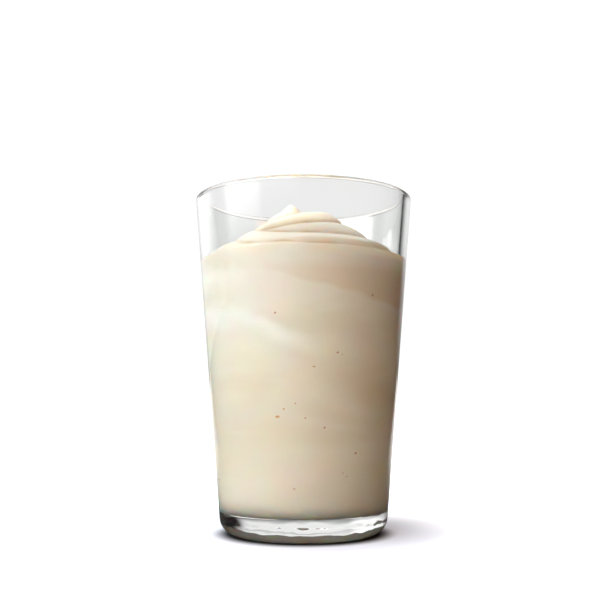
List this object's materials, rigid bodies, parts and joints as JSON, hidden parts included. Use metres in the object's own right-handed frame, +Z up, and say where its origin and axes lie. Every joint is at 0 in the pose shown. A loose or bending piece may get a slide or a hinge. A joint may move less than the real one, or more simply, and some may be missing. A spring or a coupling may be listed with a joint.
{
  "type": "vanilla milkshake in a glass",
  "caption": "Thick vanilla milkshake filling a conical clear glass tumbler with a heavy base, its pale top piped into a low swirl with a leaning peak below the rim.",
  "frame": {"origin": "middle of the foot of the tumbler, on the surface it stands on", "axes": "+Z up the axis of the tumbler, -Y towards the front of the swirl, +X to its right"},
  "size_m": [0.088, 0.088, 0.1345],
  "materials": {
    "clear_glass": "clear, polished",
    "vanilla_milkshake": "creamy, soft sheen"
  },
  "bodies": {
    "root": {"glass_tumbler": "clear_glass", "milkshake": "vanilla_milkshake"}
  },
  "joints": []
}
